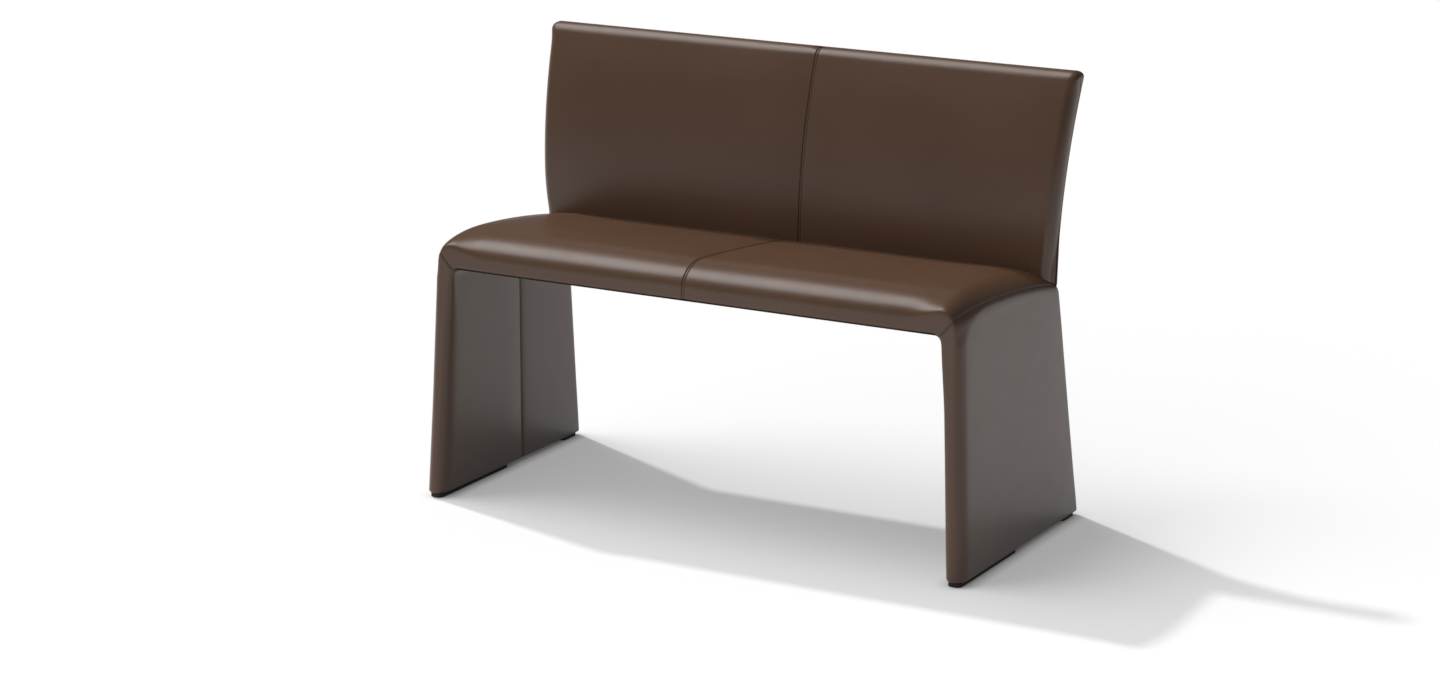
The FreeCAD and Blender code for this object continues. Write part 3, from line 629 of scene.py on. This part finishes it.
# A row of stitches: short rounded threads that go down into the leather at both ends
def stitch_row(name, points, normals, material):
    steps = np.linalg.norm(np.diff(points, axis=0), axis=1)
    lengths = np.concatenate(((0,), np.cumsum(steps)))
    verts, faces = [], []
    for start in np.arange(STITCH_TRIM, lengths[-1] - STITCH_TRIM - STITCH_LENGTH, STITCH_PITCH):
        places = start + STITCH_LENGTH * STITCH_SHARES
        centres = along_line(lengths, points, places)
        upward = along_line(lengths, normals, places)
        upward /= np.linalg.norm(upward, axis=1, keepdims=True)
        forward = centres[-1] - centres[0]
        forward /= np.linalg.norm(forward)
        faces += tube_faces(len(verts), len(STITCH_SHARES), STITCH_SIDES)
        for centre, up, rise, width in zip(centres, upward, STITCH_RISES, STITCH_WIDTHS):
            across = np.cross(forward, up)
            middle = centre + up * rise
            reach = STITCH_RADIUS * width
            for turn in STITCH_TURNS:
                verts.append(middle + reach * (math.cos(turn) * across + math.sin(turn) * up))
    return mesh_object(name, np.array(verts), faces, material)


def tube_faces(first, rings, sides):
    faces = [tuple(range(first, first + sides))[::-1]]
    for ring in range(rings - 1):
        for side in range(sides):
            low, high = first + ring * sides, first + (ring + 1) * sides
            turn = (side + 1) % sides
            faces.append((low + side, low + turn, high + turn, high + side))
    faces.append(tuple(range(first + (rings - 1) * sides, first + rings * sides)))
    return faces


# Rows or columns of a grid that lie about one cloth step apart
def thinned(distances):
    kept = [0]
    for index, distance in enumerate(distances):
        if distance - distances[kept[-1]] >= CLOTH_STEP:
            kept.append(index)
    if distances[-1] - distances[kept[-1]] < CLOTH_STEP / 2 and len(kept) > 1:
        kept.pop()
    kept.append(len(distances) - 1)
    return np.unique(kept)


def pinned_borders(rows, columns):
    index = np.arange(rows * columns).reshape(rows, columns)
    return np.unique(np.concatenate((index[0], index[-1], index[:, 0], index[:, -1]))).tolist()


Cloth = collections.namedtuple("Cloth", "sheet coarse row_places column_places rows columns")


# One piece of leather on its padding, as cloth that is held at its borders and pressed outward
def cloth_sheet(name, grid, sign):
    row_places = distance_from_start(grid, 0).mean(1)
    column_places = distance_from_start(grid, 1).mean(0)
    rows, columns = thinned(row_places), thinned(column_places)
    coarse = grid[np.ix_(rows, columns)]
    faces = grid_faces(len(rows), len(columns), sign)
    sheet = mesh_object("cloth_" + name, coarse.reshape(-1, 3), faces, None)
    pins = sheet.vertex_groups.new(name="pins")
    pins.add(pinned_borders(len(rows), len(columns)), 1.0, "REPLACE")
    cloth = sheet.modifiers.new("cloth", "CLOTH")
    cloth.point_cache.frame_start, cloth.point_cache.frame_end = 1, CLOTH_FRAMES
    for setting, value in CLOTH_SETTINGS.items():
        setattr(cloth.settings, setting, value)
    cloth.settings.vertex_group_mass = "pins"
    cloth.settings.effector_weights.gravity = 0
    return Cloth(sheet, coarse, row_places, column_places, rows, columns)


# How far the cloth has moved, held to a soft limit and brought back to every point of the grid
def cloth_moves(cloth, limit):
    shaped = cloth.sheet.evaluated_get(bpy.context.evaluated_depsgraph_get()).data
    places = np.empty(len(shaped.vertices) * 3)
    shaped.vertices.foreach_get("co", places)
    moves = places.reshape(cloth.coarse.shape) - cloth.coarse
    size = np.maximum(np.linalg.norm(moves, axis=2, keepdims=True), TINY)
    moves = moves / size * limit * np.tanh(size / limit)
    for _ in range(CLOTH_SMOOTHING):
        around = moves[:-2, 1:-1] + moves[2:, 1:-1] + moves[1:-1, :-2] + moves[1:-1, 2:]
        moves[1:-1, 1:-1] = mix(moves[1:-1, 1:-1], around / 4, CLOTH_SMOOTHING_SHARE)
    row_places, column_places = cloth.row_places, cloth.column_places
    down = np.empty((len(row_places), len(cloth.columns), 3))
    for column in range(len(cloth.columns)):
        down[:, column] = along_line(row_places[cloth.rows], moves[:, column], row_places)
    full = np.empty((len(row_places), len(column_places), 3))
    for row in range(len(row_places)):
        full[row] = along_line(column_places[cloth.columns], down[row], column_places)
    return full


def puff(pieces):
    cloths = {name: cloth_sheet(name, piece.grid, piece.sign) for name, piece in pieces.items()}
    for step in range(1, CLOTH_FRAMES + 1):
        bpy.context.scene.frame_set(step)
    for name, cloth in cloths.items():
        limit = CLOTH_LIMITS[name.split("_")[0]]
        pieces[name] = pieces[name]._replace(grid=pieces[name].grid + cloth_moves(cloth, limit))
    for cloth in cloths.values():
        bpy.data.objects.remove(cloth.sheet)
    bpy.context.scene.frame_set(1)


def linked(name, data):
    piece = bpy.data.objects.new(name, data)
    bpy.context.scene.collection.objects.link(piece)
    return piece


def mesh_object(name, verts, faces, material):
    mesh = bpy.data.meshes.new(name)
    mesh.from_pydata(verts.tolist(), [], faces)
    mesh.polygons.foreach_set("use_smooth", [True] * len(mesh.polygons))
    if material:
        mesh.materials.append(material)
    return linked(name, mesh)


def grid_faces(rows, columns, sign):
    faces = []
    for row in range(rows - 1):
        for column in range(columns - 1):
            corner = row * columns + column
            face = (corner, corner + columns, corner + columns + 1, corner + 1)
            faces.append(face if sign > 0 else face[::-1])
    return faces


def leather_piece(name, grid, sign, material):
    rows, columns = grid.shape[:2]
    piece = mesh_object(name, grid.reshape(-1, 3), grid_faces(rows, columns, sign), material)
    skin = piece.modifiers.new("leather", "SOLIDIFY")
    skin.thickness = LEATHER_THICKNESS
    skin.offset = -1
    return piece


class Material:
    """A material's node tree, with short calls to add and join nodes."""

    def __init__(self, name):
        self.material = bpy.data.materials.new(name)
        self.material.use_nodes = True
        self.tree = self.material.node_tree
        self.shader = self.tree.nodes["Principled BSDF"]
        self.place = self.add("TexCoord").outputs["Object"]

    def put(self, socket, value):
        if isinstance(value, bpy.types.NodeSocket):
            self.tree.links.new(value, socket)
        else:
            socket.default_value = value

    def add(self, kind, inputs=(), **settings):
        node = self.tree.nodes.new("ShaderNode" + kind)
        for name, value in settings.items():
            setattr(node, name, value)
        for name, value in dict(inputs).items():
            self.put(node.inputs[name], value)
        return node

    def noise(self, scale, detail):
        inputs = {"Vector": self.place, "Scale": scale, "Detail": detail}
        return self.add("TexNoise", inputs).outputs["Fac"]

    def ramp(self, value, low, high):
        inputs = {"Value": value, "To Min": low, "To Max": high}
        return self.add("MapRange", inputs).outputs["Result"]

    def calculate(self, operation, first, second):
        return self.add("Math", {0: first, 1: second}, operation=operation).outputs[0]

    def blend(self, value, first, second):
        node = self.add("Mix", {"Factor": value}, data_type="RGBA")
        node.inputs[6].default_value = (*first, 1)
        node.inputs[7].default_value = (*second, 1)
        return node.outputs[2]

    def bump(self, height, distance, strength, normal=None):
        inputs = {"Height": height, "Distance": distance, "Strength": strength}
        if normal:
            inputs["Normal"] = normal
        return self.add("Bump", inputs).outputs["Normal"]

    def shade(self, **values):
        for name, value in values.items():
            self.put(self.shader.inputs[name.replace("_", " ")], value)
        return self.material


# Smooth brown leather: fine pebbles and pores, with slow changes of tone and sheen
def leather_material():
    nodes = Material("brown_leather")
    tone = nodes.ramp(nodes.noise(TONE_SCALE, detail=4.0), *LEATHER_TONES)
    colour = nodes.blend(tone, *LEATHER_COLOURS)
    cells = {"Vector": nodes.place, "Scale": PEBBLE_SCALE, "Smoothness": PEBBLE_SMOOTHNESS}
    pebble = nodes.add("TexVoronoi", cells, feature="SMOOTH_F1").outputs["Distance"]
    pores = nodes.noise(PORE_SCALE, detail=3.0)
    pebbled = nodes.bump(pebble, PEBBLE_DEPTH, PEBBLE_STRENGTH)
    grain = nodes.bump(pores, PORE_DEPTH, PORE_STRENGTH, pebbled)
    rough = nodes.ramp(nodes.noise(SHEEN_SCALE, detail=4.0), *LEATHER_ROUGHNESS)
    return nodes.shade(Base_Color=colour, Roughness=rough, Normal=grain, IOR=LEATHER_IOR)


def plain_material(name, dark, light, rough, scale, bump, metallic=0.0):
    nodes = Material(name)
    speckle = nodes.noise(scale, detail=4.0)
    colour = nodes.blend(speckle, dark, light)
    patches = nodes.noise(scale / 4, detail=3.0)
    roughness = nodes.ramp(patches, rough - ROUGHNESS_SPREAD, rough + ROUGHNESS_SPREAD)
    normal = nodes.bump(speckle, bump, SPECKLE_STRENGTH)
    return nodes.shade(Base_Color=colour, Roughness=roughness, Normal=normal, Metallic=metallic)


Piece = collections.namedtuple("Piece", "grid sign seams stitches dimples")


# Every piece of leather: its grid, its outward sign, sewn borders, rows of stitches and dimples
def leather_pieces():
    pieces = {}
    notch = ((BACK_SEAM, back_level(BACK_TOP, 1).seam, BACK_TOP), NOTCH_RADIUS, NOTCH_DEPTH)
    mitre = ("first_row", *MITRE_EDGE)
    mitre_stitches = [("first_row", *DOUBLE_STITCH)]
    for name, side in SIDES.items():
        topstitch = [TOPSTITCH] if name == "right" else []
        seat = seat_grid(side)
        pieces[f"seat_{name}"] = Piece(
            seat, outward_sign(seat, seat.mean((0, 1))),
            [("first_row", *SEAM_EDGE), ("last_row", *MITRE_EDGE)],
            [("first_row", *row) for row in topstitch] + [("last_row", *DOUBLE_STITCH)], [])
        cover, panel = leg_grids(side)
        inside = cover.mean((0, 1))
        pieces[f"leg_cover_{name}"] = Piece(
            cover, outward_sign(cover, inside),
            [mitre, ("first_column", *COVER_EDGE), ("last_column", *SEAM_EDGE)], mitre_stitches, [])
        pieces[f"leg_inner_panel_{name}"] = Piece(
            panel, outward_sign(panel, inside),
            [mitre, ("first_column", *SEAM_EDGE), ("last_column", *PANEL_EDGE)], mitre_stitches, [])
        back = back_half_grid(side)
        pieces[f"back_front_{name}"] = Piece(
            back, outward_sign(back, INSIDE_BACK_FRONT),
            [("first_column", *SEAM_EDGE), ("last_column", *SEAM_EDGE)],
            [("first_column", *row) for row in topstitch], [notch])
    rear = back_rear_grid()
    pieces["back_rear"] = Piece(
        rear, outward_sign(rear, INSIDE_BACK_REAR),
        [("first_column", *SEAM_EDGE), ("last_column", *SEAM_EDGE)], [], [])
    return pieces


# The covers and foam that each piece of leather stands for
def replaced_nodes():
    replaced = {"back_rear": ["back_rear_cover", "back_foam_rear"]}
    for name in SIDES:
        replaced[f"seat_{name}"] = [f"seat_cover_{name}"]
        replaced[f"leg_cover_{name}"] = [f"leg_cover_{name}", f"leg_foam_{name}"]
        replaced[f"leg_inner_panel_{name}"] = [f"leg_inner_cover_{name}"]
        replaced[f"back_front_{name}"] = [f"back_front_cover_{name}"]
    replaced["seat_right"].append("seat_foam")
    replaced["back_front_right"].append("back_foam_front")
    return replaced


REPLACED = replaced_nodes()


def upholster():
    leather, thread = leather_material(), plain_material(*THREAD)
    pieces = leather_pieces()
    puff(pieces)
    for name, (grid, sign, seams, stitches, dimples) in pieces.items():
        shaped = sewn(grid, sign, seams, stitches, dimples)
        piece = leather_piece("soft_" + name, shaped, sign, leather)
        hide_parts(*REPLACED[name])
        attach(piece, "root")
        for border, place, _ in stitches:
            points, normals = seam_line(shaped, sign, border, place)
            row = stitch_row(f"stitches_{name}_{border}", points, normals, thread)
            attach(row, "root")


def finish_frame():
    finishes = {slot: plain_material(*values) for slot, values in FINISHES.items()}
    for entry in frame["record"]["materials"]:
        for node in entry.get("nodes", []):
            if entry["slot"] in finishes:
                shown = frame["nodes"][node]
                shown.data.materials.clear()
                shown.data.materials.append(finishes[entry["slot"]])


# White studio floor: what the camera and reflections see of it is lifted evenly, and it keeps the
# lamps' shadow.
# Right beside and under the legs ambient occlusion cuts the lift, which paints a contact shade there
def floor():
    mesh = bpy.data.meshes.new("floor")
    corners = [(x * FLOOR_HALF, y * FLOOR_HALF, 0) for x, y in ((-1, -1), (1, -1), (1, 1), (-1, 1))]
    mesh.from_pydata(corners, [], [(0, 1, 2, 3)])
    piece = linked("floor", mesh)
    nodes = Material("pale_floor")
    lift = nodes.calculate("MULTIPLY", seen_ray(nodes), FLOOR_LIFT)
    # Painted shade: ambient occlusion darkens the lift beside and under the legs
    painted_contact_shade = nodes.add("AmbientOcclusion", {"Distance": PAINTED_SHADE_REACH}).outputs["AO"]
    lift_with_painted_shade = nodes.calculate("MULTIPLY", lift, painted_contact_shade)
    nodes.shade(Base_Color=(FLOOR_SHADE, FLOOR_SHADE, FLOOR_SHADE, 1), Roughness=FLOOR_ROUGHNESS,
                Emission_Strength=lift_with_painted_shade, Emission_Color=(1, 1, 1, 1), Specular_IOR_Level=0.0)
    mesh.materials.append(nodes.material)


def seen_ray(nodes):
    path = nodes.add("LightPath").outputs
    seen = nodes.calculate("MAXIMUM", path["Is Camera Ray"], path["Is Glossy Ray"])
    return nodes.calculate("MAXIMUM", seen, path["Is Transmission Ray"])


def studio_lamp(name, toward, width, strength, mirrored):
    lamp = bpy.data.lights.new(name, "SUN")
    lamp.angle = math.radians(width)
    lamp.energy = strength * math.pi
    piece = linked(name, lamp)
    piece.visible_glossy = mirrored
    x, y, z = toward
    piece.rotation_euler = (math.atan2(math.hypot(x, y), z), 0, math.atan2(x, -y))


def world():
    sky = bpy.data.worlds.new("studio")
    sky.use_nodes = True
    background = sky.node_tree.nodes["Background"]
    background.inputs["Color"].default_value = (1, 1, 1, 1)
    background.inputs["Strength"].default_value = WORLD_STRENGTH
    bpy.context.scene.world = sky


def camera():
    lens = bpy.data.cameras.new("camera")
    lens.sensor_width = CAMERA_SENSOR
    lens.lens = CAMERA_LENS
    piece = linked("camera", lens)
    piece.location = CAMERA_PLACE
    piece.rotation_euler = (math.radians(90 - CAMERA_DOWN), 0, math.radians(CAMERA_TURN))
    bpy.context.scene.camera = piece


upholster()
finish_frame()
floor()
world()
for lamp_name, lamp_values in LAMPS.items():
    studio_lamp(lamp_name, *lamp_values)
camera()
bpy.context.scene.view_settings.view_transform = "Standard"
